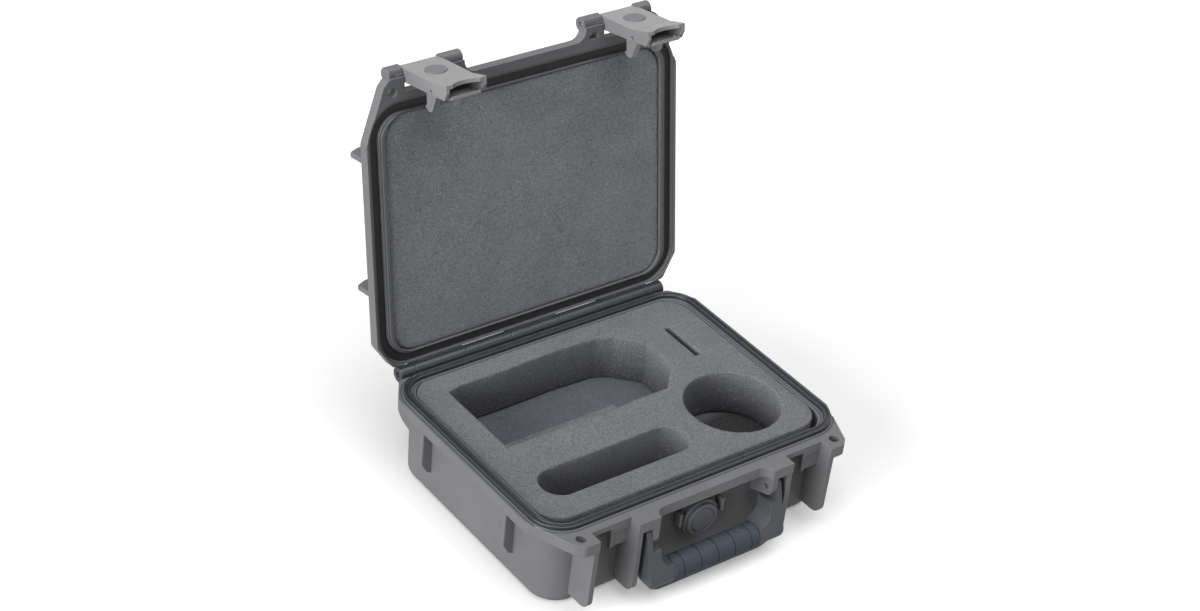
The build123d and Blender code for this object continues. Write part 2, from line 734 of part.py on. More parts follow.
# Trigger with its hook and finger tongue, right side
trigger_x1 = latch_x1 + latch_wall_t + trigger_gap
trigger_w = latch_w - 2 * latch_wall_t - 2 * trigger_gap
hook_z = lip_low - hook_gap
lip_back = bay_edge - lip_t
hook_in = -lip_back + hook_gap
with BuildPart() as trigger:
    # Two hooks, one at each end
    for x1 in (trigger_x1, trigger_x1 + trigger_w - hook_w):
        with BuildSketch(Plane.YZ.offset(x1)):
            with BuildLine():
                Polyline(
                    (-trigger_y - 1.2, trigger_z + 3),
                    (-trigger_y + trigger_barrel_r, hook_z),
                    (hook_in, hook_z),
                    (hook_in + 0.3, hook_z + hook_nib),
                    (hook_in + 1.3, hook_z + hook_nib),
                    (hook_in + hook_deep, hook_z - 2),
                    (hook_in + hook_deep - 1, hook_z - hook_drop),
                    (-trigger_y + 1.3, trigger_z - 3),
                    close=True,
                )
            make_face()
        extrude(amount=hook_w)
    # Finger tongue, bowed towards the case
    with BuildSketch(Plane.YZ.offset(bay_x - tongue_wide / 2)):
        with BuildLine():
            Polyline(
                (-trigger_y - finger_t / 2, trigger_z),
                (-trigger_y - finger_t / 2 + tongue_bow, trigger_z - 0.7 * tongue_len),
                (-trigger_y - finger_t / 2, trigger_z - tongue_len),
                (-trigger_y + finger_t / 2, trigger_z - tongue_len),
                (-trigger_y + finger_t / 2 + tongue_bow, trigger_z - 0.7 * tongue_len),
                (-trigger_y + finger_t / 2, trigger_z),
                close=True,
            )
        make_face()
    extrude(amount=tongue_wide)
    add(rod(trigger_barrel_r, trigger_x1, trigger_x1 + trigger_w, -trigger_y, trigger_z))
    add(rod(trigger_pin_r + pin_clear, trigger_x1, trigger_x1 + trigger_w, -trigger_y, trigger_z),
        mode=Mode.SUBTRACT)

trigger_pin = rod(trigger_pin_r, latch_x1 + 0.6, latch_x2 - 0.6, -trigger_y, trigger_z)

# Leaf spring, lying on the inside of the latch plate and bent towards the trigger
leaf_y = latch_front - latch_plate_t
with BuildPart() as leaf:
    with BuildSketch(Plane.YZ.offset(bay_x - leaf_w / 2)):
        with BuildLine():
            Polyline(
                (-leaf_y, trigger_z + 8.5 + leaf_len),
                (-leaf_y + leaf_t, trigger_z + 8.5 + leaf_len),
                (-leaf_y + leaf_t, trigger_z + 8.5),
                (-leaf_y + 2.9, trigger_z + 6.9),
                (-leaf_y + 2.6, trigger_z + 6.5),
                (-leaf_y, trigger_z + 8),
                close=True,
            )
        make_face()
    extrude(amount=leaf_w)

for piece, name in (
    (latch.part, "latch"),
    (latch_disc.part, "latch_disc"),
    (trigger.part, "trigger"),
    (trigger_pin, "trigger_pin"),
    (leaf.part, "trigger_spring"),
):
    write(turned_open(piece), name + "_right")
    write(turned_open(piece.mirror(Plane.YZ)), name + "_left")

latch_pin = rod(latch_pin_r, lid_ear_in + 1, lid_ear_out - 2.5, -pivot_y, pivot_z)
with BuildPart() as latch_pins:
    add(latch_pin)
    mirror(latch_pin, about=Plane.YZ)
write(turned_open(latch_pins.part), "latch_pins")

# Handle: two arms outside the ears, a bar between them and a thin web under the bar
step_z = handle_pivot_z - handle_ear_r - handle_step
web_low = grip_z - web_under
bar_top = grip_z + handle_end_r
with BuildPart() as handle_frame:
    # Side view of an arm
    with BuildSketch(Plane.YZ.offset(grip_half)):
        with Locations((-handle_pivot_y, handle_pivot_z)):
            Circle(handle_arm_r)
        with Locations((-grip_y, grip_z)):
            Circle(handle_end_r)
        make_hull()
    extrude(amount=arm_x2 - grip_half)
    with BuildSketch(Plane.XZ.offset(grip_y - web_t / 2)):
        with Locations((0, web_low)):
            Rectangle(arm_x2, grip_z - web_low, align=(Align.MIN, Align.MIN))
    extrude(amount=web_t)
    # Front view, with the rounded outer corner and the curve between arm and bar
    with BuildSketch(Plane.XZ.offset(handle_pivot_y - 2 * handle_arm_r)) as front_view:
        with BuildLine():
            Polyline(
                (0, web_low),
                (arm_x2, web_low),
                (arm_x2, base_h),
                (arm_x1, base_h),
                (arm_x1, step_z),
                (arm_in, step_z),
                (arm_in, bar_top),
                (0, bar_top),
                close=True,
            )
        make_face()
        fillet(front_view.vertices().sort_by_distance((arm_x2, web_low))[0], handle_corner_r)
        fillet(front_view.vertices().sort_by_distance((arm_in, bar_top))[0], gusset)
    extrude(amount=6 * handle_arm_r, mode=Mode.INTERSECT)
    add(rod(core_r, 0, grip_half + 1, -grip_y, grip_z))
    add(rod(handle_pin_r + pin_clear, arm_x1, arm_x2, -handle_pivot_y, handle_pivot_z), mode=Mode.SUBTRACT)
    mirror(about=Plane.YZ)

with BuildPart() as handle_grip:
    add(rod(grip_r, -grip_half, grip_half, -grip_y, grip_z))
    fillet(handle_grip.edges().filter_by(GeomType.CIRCLE), 1.5)
    for i in range(-2, 3):
        x1 = i * grip_groove_pitch - grip_groove_w / 2
        with BuildSketch(Plane.YZ.offset(x1)):
            with Locations((-grip_y, grip_z)):
                Circle(grip_r + 1)
                Circle(grip_r - grip_groove_d, mode=Mode.SUBTRACT)
        extrude(amount=grip_groove_w, mode=Mode.SUBTRACT)
    add(rod(core_r + pin_clear, -grip_half, grip_half, -grip_y, grip_z), mode=Mode.SUBTRACT)
    with BuildSketch(Plane.YZ.offset(-grip_half)):
        with Locations((-grip_y, grip_z)):
            Rectangle(web_t + 2 * pin_clear, 2 * grip_r, align=(Align.CENTER, Align.MAX))
    extrude(amount=2 * grip_half, mode=Mode.SUBTRACT)

handle_pin = rod(handle_pin_r, handle_ear_in + 0.8, arm_x2 - 0.4, -handle_pivot_y, handle_pivot_z)
with BuildPart() as handle_pins:
    add(handle_pin)
    mirror(handle_pin, about=Plane.YZ)

write(handle_frame.part, "handle_frame")
write(handle_grip.part, "handle_grip")
write(handle_pins.part, "handle_pins")


def disc(radius, y1, y2):
    """A round disc on the valve's axis, between two distances in front of the origin."""
    with BuildPart(mode=Mode.PRIVATE) as plate:
        with BuildSketch(Plane.XZ.offset(y1)):
            with Locations((0, valve_z)):
                Circle(radius)
        extrude(amount=y2 - y1)
    return plate.part


# Vent valve, from the wall outwards
flange_front = valve_pad_y + valve_flange_t
seat_y = flange_front - membrane_seat
cap_front = flange_front + valve_cap_t
with BuildPart() as valve_body:
    add(disc(valve_flange_r, valve_pad_y, flange_front))
    fillet(valve_body.faces().sort_by(Axis.Y)[0].edges(), 0.8)
    add(disc(valve_stem_r, valve_stem_end, valve_pad_y + 1))
    add(disc(valve_bore_r, valve_stem_end, flange_front), mode=Mode.SUBTRACT)
    add(disc(valve_bore_r + membrane_rim, seat_y, flange_front), mode=Mode.SUBTRACT)
    oring_seat_y = valve_pad_y + 2 * oring_r + oring_clear
    add(disc(oring_ring_r + oring_r + oring_clear, valve_pad_y, oring_seat_y)
        - disc(oring_ring_r - oring_r - oring_clear, valve_pad_y, oring_seat_y),
        mode=Mode.SUBTRACT)

with BuildPart() as valve_membrane:
    add(disc(valve_bore_r + membrane_rim - 0.1, seat_y, seat_y + membrane_t))

with BuildPart() as valve_oring:
    with BuildSketch(Plane.XY.offset(valve_z)):
        with Locations((oring_ring_r, -valve_pad_y - oring_r)):
            Circle(oring_r)
    revolve(axis=Axis((0, 0, valve_z), (0, 1, 0)))

with BuildPart() as valve_cap:
    add(disc(valve_cap_r, flange_front, cap_front))
    fillet(valve_cap.faces().sort_by(Axis.Y)[0].edges(), 0.9)
    groove_y = cap_front - valve_ring_d
    add(disc(valve_ring_r, groove_y, cap_front) - disc(valve_ring_r - valve_ring_w, groove_y, cap_front),
        mode=Mode.SUBTRACT)
    add(disc(valve_bore_r + membrane_rim + 1, flange_front, flange_front + vent_d), mode=Mode.SUBTRACT)
    with BuildSketch(Plane.XZ.offset(flange_front)):
        with Locations((0, valve_z)):
            with PolarLocations(valve_cap_r - 3, 3, 90):
                Rectangle(vent_w, vent_h)
    extrude(amount=vent_d, mode=Mode.SUBTRACT)

with BuildPart() as valve_nut:
    with BuildSketch(Plane.XZ.offset(valve_seat_y - valve_nut_t)):
        with Locations((0, valve_z)):
            RegularPolygon(valve_nut_r, 6)
            Circle(valve_stem_r + 0.1, mode=Mode.SUBTRACT)
    extrude(amount=valve_nut_t)

write(valve_body.part, "valve_body")
write(valve_membrane.part, "valve_membrane")
write(valve_oring.part, "valve_oring")
write(valve_cap.part, "valve_cap")
write(valve_nut.part, "valve_nut")

# Base foam: a cut upper block on a plain lower one
foam_x = cavity_x - foam_gap
foam_back = cavity_y - foam_gap
foam_r = cavity_r - foam_gap
with BuildPart() as base_foam:
    add(tapered(foam_x, foam_front, foam_back, foam_r, foam_top, foam_split))
    with BuildSketch(Plane.XY.offset(foam_split)):
        with BuildLine():
            Polyline(
                (pocket_left, pocket_front),
                (pocket_left + 69, pocket_front),
                (pocket_left + 91, pocket_front - 1.6),
                (pocket_left + 97, pocket_front + 0.6),
                (pocket_right - 21.5, pocket_front + 1.4),
                (pocket_right, pocket_front + 23.7),
                (pocket_right, pocket_back - 24),
                (pocket_right - 18.3, pocket_back - 5.3),
                (pocket_right - 30.3, pocket_back),
                (pocket_right - 64, pocket_back + 1.5),
                (pocket_left + 46.5, pocket_back),
                (pocket_left + 12, pocket_back),
                (pocket_left, pocket_back - 3),
                close=True,
            )
        make_face()
        with Locations((hole_x, hole_y)):
            Circle(hole_r)
        with Locations((stadium_x, stadium_y)):
            SlotCenterToCenter(stadium_len, 2 * stadium_r)
        with Locations((card_x, card_y)):
            Rectangle(card_w, card_len)
    extrude(amount=foam_top - foam_split, mode=Mode.SUBTRACT)

with BuildPart() as foam_floor:
    add(tapered(foam_x, foam_front, foam_back, foam_r,
                foam_split - foam_layer_gap, floor_t + foam_layer_gap, floor_t))

with BuildPart() as pocket_riser:
    with BuildSketch(Plane.XY.offset(foam_split)):
        with Locations((riser_x, pocket_front + riser_back)):
            Rectangle(riser_w, riser_d)
    extrude(amount=riser_h)

write(base_foam.part, "base_foam")
write(foam_floor.part, "foam_floor")
write(pocket_riser.part, "pocket_riser")
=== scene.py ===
import math

import bpy
from bpy.props import FloatProperty, FloatVectorProperty, PointerProperty
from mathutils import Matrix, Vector


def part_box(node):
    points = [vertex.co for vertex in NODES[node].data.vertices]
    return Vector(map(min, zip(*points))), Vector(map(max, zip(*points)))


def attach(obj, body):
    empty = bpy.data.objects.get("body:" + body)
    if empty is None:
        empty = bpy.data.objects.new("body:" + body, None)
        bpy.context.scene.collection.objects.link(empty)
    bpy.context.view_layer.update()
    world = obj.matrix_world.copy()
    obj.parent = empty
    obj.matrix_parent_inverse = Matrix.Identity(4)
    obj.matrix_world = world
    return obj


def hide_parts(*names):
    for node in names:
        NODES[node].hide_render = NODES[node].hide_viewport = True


bl_info = {
    "name": "Recorder case dressing",
    "version": (1, 0, 0),
    "blender": (4, 5, 0),
    "location": "View3D > Sidebar > Recorder case",
    "description": "Foam, plastics, metals and a small studio for a hinged recorder case",
    "category": "Object",
}

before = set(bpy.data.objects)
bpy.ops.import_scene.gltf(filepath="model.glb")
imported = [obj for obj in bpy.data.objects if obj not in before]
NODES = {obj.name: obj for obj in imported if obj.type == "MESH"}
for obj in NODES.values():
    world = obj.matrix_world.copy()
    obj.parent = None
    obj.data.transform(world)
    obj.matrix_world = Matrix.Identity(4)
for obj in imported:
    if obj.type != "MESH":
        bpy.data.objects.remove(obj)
BASE_LOW, BASE_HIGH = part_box("base_foam")

# Mould-polished parts: the hinge barrels, the base above the hinge axis, and the face of the lid's rim;
# glossier, with a painted dark reflection in their colour, and on the lid's rim face painted shade at a
# share
PAINTED_REFLECTION_AND_SHADE = (0.030, 0.034, 0.042)
BARREL_RADIUS = 0.0061
LID_ANGLE = math.radians(100.0)
LID_FACE = Vector((0.0, -math.sin(LID_ANGLE), -math.cos(LID_ANGLE)))
LID_FACE_DEPTH = -0.0045
LID_FACE_LIMIT = 0.7
LID_FACE_SHARE = 0.45
EVERY_FACE = -2.0

# Foam: painted shade at the bottom of the cuts, and in the layer below where it lies in front of an edge in
# Y
CUT_BOTTOM_PAINTED_SHADE = 0.22
DEEP_FLOOR_PAINTED_SHADE = 0.12
DEEP_FLOOR_EDGE = (-0.012, -0.004)
# Painted light: the lid foam is the same foam, made lighter by this factor
LID_FOAM_PAINTED_LIGHT = 1.15
WAVE_LENGTH = 0.022
WAVE_LENGTH_STEP = 0.001
WAVE_LEVEL = 0.62
SAME_POINT = 0.00001

# Fixed colours
DUST = (0.42, 0.41, 0.39)
MEMBRANE = (0.75, 0.75, 0.74)

# The photograph's camera and the lamps: places in metres, turns and apparent sizes in degrees, sensor in mm
CAMERA_PLACE = (-0.93884, -1.07876, 1.11779)
CAMERA_TURN = (55.845, -5.5362, -36.4384)
SENSOR_WIDTH = 36.0
KEY_TURN = (77.0, 0.0, -83.0)
KEY_SIZE = 50.0
FILL_TURN = (14.0, 0.0, 6.0)
FILL_SIZE = 60.0
LAMP_HEIGHT = 2.0


# Sizes and colours

def colour(name, description, value):
    return FloatVectorProperty(
        name=name, description=description, subtype="COLOR", size=3, min=0.0, max=1.0, default=value
    )


class ShellSettings(bpy.types.PropertyGroup):
    """Moulded plastic of base, lid and handle."""

    plastic: colour("Plastic", "Colour of the moulded shells", (0.150, 0.152, 0.158))
    # Lighter than the shell: partly the latches' own colour, partly a painted highlight
    latch: colour("Latch", "Colour of the latch mouldings", (0.215, 0.217, 0.222))
    disc: colour("Disc", "Colour of the disc set in each latch", (0.15, 0.155, 0.17))
    # Darker than the shell: partly the handle's own colour, partly painted shade
    handle: colour("Handle", "Colour of the handle arms", (0.070, 0.075, 0.084))
    valve: colour("Valve", "Colour of the vent valve", (0.110, 0.114, 0.122))
    grain: FloatProperty(
        name="Grain", description="Size of one grain of the moulded texture", default=0.00045,
        min=0.0001, max=0.005, unit="LENGTH",
    )
    edge: FloatProperty(
        name="Edge", description="Softness of moulded edges", default=0.0006,
        min=0.0, max=0.003, unit="LENGTH",
    )


class RubberSettings(bpy.types.PropertyGroup):
    """Grip and seals."""

    # Darker than the shell: partly the rubber's own colour, partly painted shade
    grip: colour("Grip", "Colour of the rubber grip", (0.040, 0.050, 0.066))
    seal: colour("Seal", "Colour of the gasket and O-ring", (0.012, 0.012, 0.013))


class FoamSettings(bpy.types.PropertyGroup):
    """Open-cell foam."""

    upper: colour("Upper foam", "Colour of the cut foam and the lid foam", (0.178, 0.185, 0.202))
    lower: colour("Lower foam", "Colour of the foam under the pockets", (0.110, 0.120, 0.142))
    cell: FloatProperty(
        name="Cell", description="Size of one foam cell", default=0.0008,
        min=0.0002, max=0.01, unit="LENGTH",
    )
    softness: FloatProperty(
        name="Softness", description="Waviness of the foam's faces", default=0.0004,
        min=0.0, max=0.005, unit="LENGTH",
    )
    voxel: FloatProperty(
        name="Voxel", description="Mesh size of the foam", default=0.0012,
        min=0.0008, max=0.01, unit="LENGTH",
    )


class MetalSettings(bpy.types.PropertyGroup):
    """Pins and springs."""

    steel: colour("Steel", "Colour of pins and springs", (0.56, 0.57, 0.58))


class StudioSettings(bpy.types.PropertyGroup):
    """Floor, lamps and camera."""

    floor: colour("Floor", "Colour of the floor", (0.93, 0.93, 0.93))
    reach: FloatProperty(
        name="Reach", description="Side of the floor", default=14.0, min=2.0, max=60.0, unit="LENGTH"
    )
    bounce: FloatProperty(
        name="Bounce", description="Share of the floor's colour that it throws back on the case",
        default=0.3, min=0.0, max=1.0,
    )
    lift: FloatProperty(
        name="Lift", description="Light of the floor itself, as on an overexposed sweep", default=0.22,
        min=0.0, max=1.0,
    )
    lens: FloatProperty(
        name="Lens", description="Focal length for a 36 mm frame", default=74.14, min=20.0, max=200.0,
        unit="CAMERA", subtype="DISTANCE_CAMERA",
    )
    key: FloatProperty(
        name="Key", description="Strength of the main lamp", default=4.3, min=0.0, max=10.0
    )
    fill: FloatProperty(
        name="Fill", description="Strength of the second lamp", default=2.1, min=0.0, max=10.0
    )
    air: FloatProperty(
        name="Air", description="Strength of the light all round", default=0.08, min=0.0, max=5.0
    )


# Small helpers

def deselect():
    for thing in bpy.context.selected_objects:
        thing.select_set(False)
    bpy.context.view_layer.objects.active = None


def only(thing):
    deselect()
    thing.select_set(True)
    bpy.context.view_layer.objects.active = thing


def apply_all(thing):
    only(thing)
    for modifier in list(thing.modifiers):
        bpy.ops.object.modifier_apply(modifier=modifier.name)


def copy_of(node, name):
    """A merged copy of a CAD node's mesh, as a new object at the origin."""
    mesh = NODES[node].data.copy()
    mesh.name = name
    piece = bpy.data.objects.new(name, mesh)
    bpy.context.scene.collection.objects.link(piece)
    only(piece)
    mesh.materials.clear()
    for layer in list(mesh.uv_layers):
        mesh.uv_layers.remove(layer)
    bpy.ops.object.mode_set(mode="EDIT")
    bpy.ops.mesh.select_all(action="SELECT")
    bpy.ops.mesh.remove_doubles(threshold=SAME_POINT)
    bpy.ops.mesh.customdata_custom_splitnormals_clear()
    bpy.ops.object.mode_set(mode="OBJECT")
    return piece


def finish_nodes(names, material):
    for name in names:
        mesh = NODES[name].data
        for i in range(len(mesh.materials)):
            mesh.materials[i] = material
        if not mesh.materials:
            mesh.materials.append(material)


# Shader building blocks

class Tree:
    """Adds nodes to one node tree from left to right and links their sockets."""

    def __init__(self, tree):
        self.tree = tree
        self.count = 0

    def add(self, kind, **values):
        made = self.tree.nodes.new(kind)
        made.location = (180 * self.count, -40 * (self.count % 5))
        self.count += 1
        for key, value in values.items():
            setattr(made, key, value)
        return made

    def link(self, source, target):
        self.tree.links.new(source, target)

    def maths(self, operation, a, b=None, clamp=False):
        made = self.add("ShaderNodeMath", operation=operation, use_clamp=clamp)
        for socket, value in zip(made.inputs, (a, b)):
            if value is None:
                continue
            if isinstance(value, (int, float)):
                socket.default_value = value
            else:
                self.link(value, socket)
        return made.outputs[0]

    def mix(self, factor, a, b, blend="MIX"):
        made = self.add("ShaderNodeMix", data_type="RGBA", blend_type=blend)
        for socket, value in ((made.inputs[0], factor), (made.inputs[6], a), (made.inputs[7], b)):
            if isinstance(value, (int, float)):
                socket.default_value = value
            elif isinstance(value, (tuple, list)):
                socket.default_value = (*value, 1.0)
            else:
                self.link(value, socket)
        return made.outputs[2]

    def noise(self, vector, scale, detail=2.0):
        """The Fac socket of a noise texture; the scale is a number or a socket."""
        made = self.add("ShaderNodeTexNoise")
        made.inputs["Detail"].default_value = detail
        self.link(vector, made.inputs["Vector"])
        if isinstance(scale, (int, float)):
            made.inputs["Scale"].default_value = scale
        else:
            self.link(scale, made.inputs["Scale"])
        return made.outputs["Fac"]

    def spread(self, value, low, high, to_low, to_high):
        made = self.add("ShaderNodeMapRange", clamp=True)
        self.link(value, made.inputs[0])
        for socket, number in zip(made.inputs[1:5], (low, high, to_low, to_high)):
            socket.default_value = number
        return made.outputs[0]


def new_group(name, inputs, outputs):
    tree = bpy.data.node_groups.new(name, "ShaderNodeTree")
    for label, kind, value in inputs:
        socket = tree.interface.new_socket(name=label, in_out="INPUT", socket_type=kind)
        if value is not None:
            socket.default_value = value
    for label, kind in outputs:
        tree.interface.new_socket(name=label, in_out="OUTPUT", socket_type=kind)
    build = Tree(tree)
    return build, build.add("NodeGroupInput"), tree.nodes.new("NodeGroupOutput")


def made_once(make):
    """Turn a function that builds a node group into one that gives the same group each time."""
    def give():
        return bpy.data.node_groups.get(make.__name__) or make(make.__name__)

    return give


@made_once
def moulded_grain(name):
    """Fine spark texture of a mould: a height, and shade and gloss that vary with it."""
    build, given, out = new_group(
        name,
        [("Vector", "NodeSocketVector", None), ("Size", "NodeSocketFloat", 0.0005)],
        [("Height", "NodeSocketFloat"), ("Shade", "NodeSocketFloat"), ("Gloss", "NodeSocketFloat")],
    )
    density = build.maths("DIVIDE", 1.0, given.outputs["Size"])
    fine = build.noise(given.outputs["Vector"], density, 3.0)
    broad = build.noise(given.outputs["Vector"], 22.0, 4.0)
    build.link(fine, out.inputs["Height"])
    speck = build.spread(fine, 0.3, 0.7, 0.93, 1.07)
    cloud = build.spread(broad, 0.3, 0.7, 0.94, 1.06)
    build.link(build.maths("MULTIPLY", speck, cloud), out.inputs["Shade"])
    build.link(build.spread(broad, 0.3, 0.7, -0.05, 0.05), out.inputs["Gloss"])
    return build.tree


@made_once
def worn_edge(name):
    """Mask of convex and concave edges, broken up by noise, and the softened normal."""
    build, given, out = new_group(
        name,
        [("Vector", "NodeSocketVector", None), ("Radius", "NodeSocketFloat", 0.0006)],
        [("Mask", "NodeSocketFloat"), ("Normal", "NodeSocketVector")],
    )
    soft = build.add("ShaderNodeBevel", samples=6)
    build.link(given.outputs["Radius"], soft.inputs["Radius"])
    face = build.add("ShaderNodeNewGeometry")
    dot = build.add("ShaderNodeVectorMath", operation="DOT_PRODUCT")
    build.link(soft.outputs[0], dot.inputs[0])
    build.link(face.outputs["Normal"], dot.inputs[1])
    edge = build.spread(dot.outputs["Value"], 0.995, 0.80, 0.0, 1.0)
    worn = build.spread(build.noise(given.outputs["Vector"], 160.0, 3.0), 0.38, 0.62, 0.25, 1.0)
    build.link(build.maths("MULTIPLY", edge, worn, clamp=True), out.inputs["Mask"])
    build.link(soft.outputs[0], out.inputs["Normal"])
    return build.tree


@made_once
def settled_dust(name):
    """Light dust on faces that look up."""
    build, given, out = new_group(
        name, [("Vector", "NodeSocketVector", None)], [("Mask", "NodeSocketFloat")]
    )
    face = build.add("ShaderNodeNewGeometry")
    split = build.add("ShaderNodeSeparateXYZ")
    build.link(face.outputs["Normal"], split.inputs[0])
    up = build.spread(split.outputs["Z"], 0.4, 1.0, 0.0, 1.0)
    grit = build.spread(build.noise(given.outputs["Vector"], 900.0, 5.0), 0.52, 0.72, 0.0, 1.0)
    patch = build.spread(build.noise(given.outputs["Vector"], 14.0), 0.4, 0.7, 0.2, 1.0)
    build.link(build.maths("MULTIPLY", up, build.maths("MULTIPLY", grit, patch)), out.inputs["Mask"])
    return build.tree


@made_once
def polished_face(name):
    """Mask of the mould-polished parts, whose colour carries a painted dark reflection and painted shade:
    the hinge barrels, and what lies beyond a plane and faces it.
    """
    build, given, out = new_group(
        name,
        [
            ("Vector", "NodeSocketVector", None),
            ("Facing", "NodeSocketVector", None),
            ("Axis Point", "NodeSocketVector", None),
            ("Barrel", "NodeSocketFloat", 0.006),
            ("Plane Normal", "NodeSocketVector", None),
            ("Depth", "NodeSocketFloat", 0.0),
            ("Face Limit", "NodeSocketFloat", -1.0),
            ("Face Share", "NodeSocketFloat", 1.0),
        ],
        [("Mask", "NodeSocketFloat")],
    )
    offset = build.add("ShaderNodeVectorMath", operation="SUBTRACT")
    build.link(given.outputs["Vector"], offset.inputs[0])
    build.link(given.outputs["Axis Point"], offset.inputs[1])
    flat = build.add("ShaderNodeVectorMath", operation="MULTIPLY")
    build.link(offset.outputs[0], flat.inputs[0])
    flat.inputs[1].default_value = (0.0, 1.0, 1.0)
    reach = build.add("ShaderNodeVectorMath", operation="LENGTH")
    build.link(flat.outputs[0], reach.inputs[0])
    barrel = build.maths("LESS_THAN", reach.outputs["Value"], given.outputs["Barrel"])
    height = build.add("ShaderNodeVectorMath", operation="DOT_PRODUCT")
    build.link(offset.outputs[0], height.inputs[0])
    build.link(given.outputs["Plane Normal"], height.inputs[1])
    beyond = build.maths("GREATER_THAN", height.outputs["Value"], given.outputs["Depth"])
    facing = build.add("ShaderNodeVectorMath", operation="DOT_PRODUCT")
    build.link(given.outputs["Facing"], facing.inputs[0])
    build.link(given.outputs["Plane Normal"], facing.inputs[1])
    turned = build.maths("GREATER_THAN", facing.outputs["Value"], given.outputs["Face Limit"])
    face = build.maths("MULTIPLY", build.maths("MULTIPLY", beyond, turned), given.outputs["Face Share"])
    build.link(build.maths("MAXIMUM", barrel, face), out.inputs["Mask"])
    return build.tree


@made_once
def foam_cells(name):
    """Open cells: pits with painted shade, cell walls with a painted highlight where they catch light,
    painted glints, and slow random changes of tone.
    """
    build, given, out = new_group(
        name,
        [("Vector", "NodeSocketVector", None), ("Cell", "NodeSocketFloat", 0.001)],
        [("Height", "NodeSocketFloat"), ("Shade", "NodeSocketFloat"), ("Glint", "NodeSocketFloat")],
    )
    density = build.maths("DIVIDE", 1.0, given.outputs["Cell"])
    cell = build.add("ShaderNodeTexVoronoi", feature="DISTANCE_TO_EDGE")
    build.link(given.outputs["Vector"], cell.inputs["Vector"])
    build.link(density, cell.inputs["Scale"])
    pit = build.spread(cell.outputs["Distance"], 0.0, 0.32, 1.0, 0.0)
    pick = build.add("ShaderNodeTexVoronoi", feature="F1")
    build.link(given.outputs["Vector"], pick.inputs["Vector"])
    build.link(density, pick.inputs["Scale"])
    tint = build.add("ShaderNodeSeparateColor")
    build.link(pick.outputs["Color"], tint.inputs[0])
    uneven = build.spread(tint.outputs[0], 0.0, 1.0, 0.5, 1.0)
    build.link(build.maths("MULTIPLY", pit, uneven), out.inputs["Height"])
    # Painted shade in the pits and painted highlight on the cell walls
    walls = build.spread(pit, 0.0, 1.0, 0.62, 1.2)
    lone = build.spread(tint.outputs[1], 0.0, 1.0, 0.70, 1.25)
    cloud = build.spread(build.noise(given.outputs["Vector"], 35.0, 6.0), 0.3, 0.7, 0.92, 1.08)
    build.link(build.maths("MULTIPLY", walls, build.maths("MULTIPLY", lone, cloud)), out.inputs["Shade"])
    # Painted glints on a few cell walls
    spark = build.spread(tint.outputs[2], 0.90, 0.97, 0.0, 1.0)
    build.link(build.maths("MULTIPLY", spark, pit), out.inputs["Glint"])
    return build.tree


def group_node(build, tree, **values):
    made = build.add("ShaderNodeGroup", node_tree=tree)
    for key, value in values.items():
        socket = made.inputs[key]
        if isinstance(value, (int, float, tuple, Vector)):
            socket.default_value = value
        else:
            build.link(value, socket)
    return made


def new_material(name):
    material = bpy.data.materials.new(name)
    material.use_nodes = True
    tree = material.node_tree
    tree.nodes.clear()
    build = Tree(tree)
    place = build.add("ShaderNodeTexCoord").outputs["Object"]
    shader = tree.nodes.new("ShaderNodeBsdfPrincipled")
    shader.location = (2600, 0)
    end = tree.nodes.new("ShaderNodeOutputMaterial")
    end.location = (2900, 0)
    build.link(shader.outputs[0], end.inputs[0])
    return material, build, place, shader


def plastic(name, base, roughness, grain, edge, depth=0.00005, wear=0.35, dust=0.12, gloss=0.5,
            coat=0.0, polish_and_painted_shade=None):
    """Moulded plastic with spark texture, rubbed edges, a little dust and, where asked, polished parts:
    glossier, with a painted dark reflection and painted shade in their colour.
    """
    material, build, place, shader = new_material(name)
    skin = group_node(build, moulded_grain(), Vector=place, Size=grain)
    rim = group_node(build, worn_edge(), Vector=place, Radius=edge)
    dirt = group_node(build, settled_dust(), Vector=place)
    shaded = build.mix(1.0, tuple(base), skin.outputs["Shade"], "MULTIPLY")
    smooth = None
    if polish_and_painted_shade:
        facing = build.add("ShaderNodeTexCoord").outputs["Normal"]
        polish_shade_node = group_node(build, polished_face(), Vector=place, Facing=facing, **polish_and_painted_shade)
        smooth = polish_shade_node.outputs["Mask"]
        # Painted dark reflection and painted shade: the colour of the polished parts goes towards a dark
        # blue-grey
        shaded = build.mix(smooth, shaded, PAINTED_REFLECTION_AND_SHADE)
    light = tuple(min(1.0, c * 1.7 + 0.04) for c in base)
    rubbed = build.mix(build.maths("MULTIPLY", rim.outputs["Mask"], wear), shaded, light)
    dusted = build.mix(build.maths("MULTIPLY", dirt.outputs["Mask"], dust), rubbed, DUST)
    build.link(dusted, shader.inputs["Base Color"])
    rough = build.maths("ADD", skin.outputs["Gloss"], roughness)
    rough = build.maths("SUBTRACT", rough, build.maths("MULTIPLY", rim.outputs["Mask"], 0.12))
    if smooth:
        rough = build.maths("SUBTRACT", rough, build.maths("MULTIPLY", smooth, 0.22))
    build.link(rough, shader.inputs["Roughness"])
    bump = build.add("ShaderNodeBump")
    bump.inputs["Strength"].default_value = 1.0
    bump.inputs["Distance"].default_value = depth
    build.link(skin.outputs["Height"], bump.inputs["Height"])
    build.link(rim.outputs["Normal"], bump.inputs["Normal"])
    build.link(bump.outputs[0], shader.inputs["Normal"])
    shader.inputs["Specular IOR Level"].default_value = gloss
    shader.inputs["Coat Weight"].default_value = coat
    shader.inputs["Coat Roughness"].default_value = 0.2
    return material


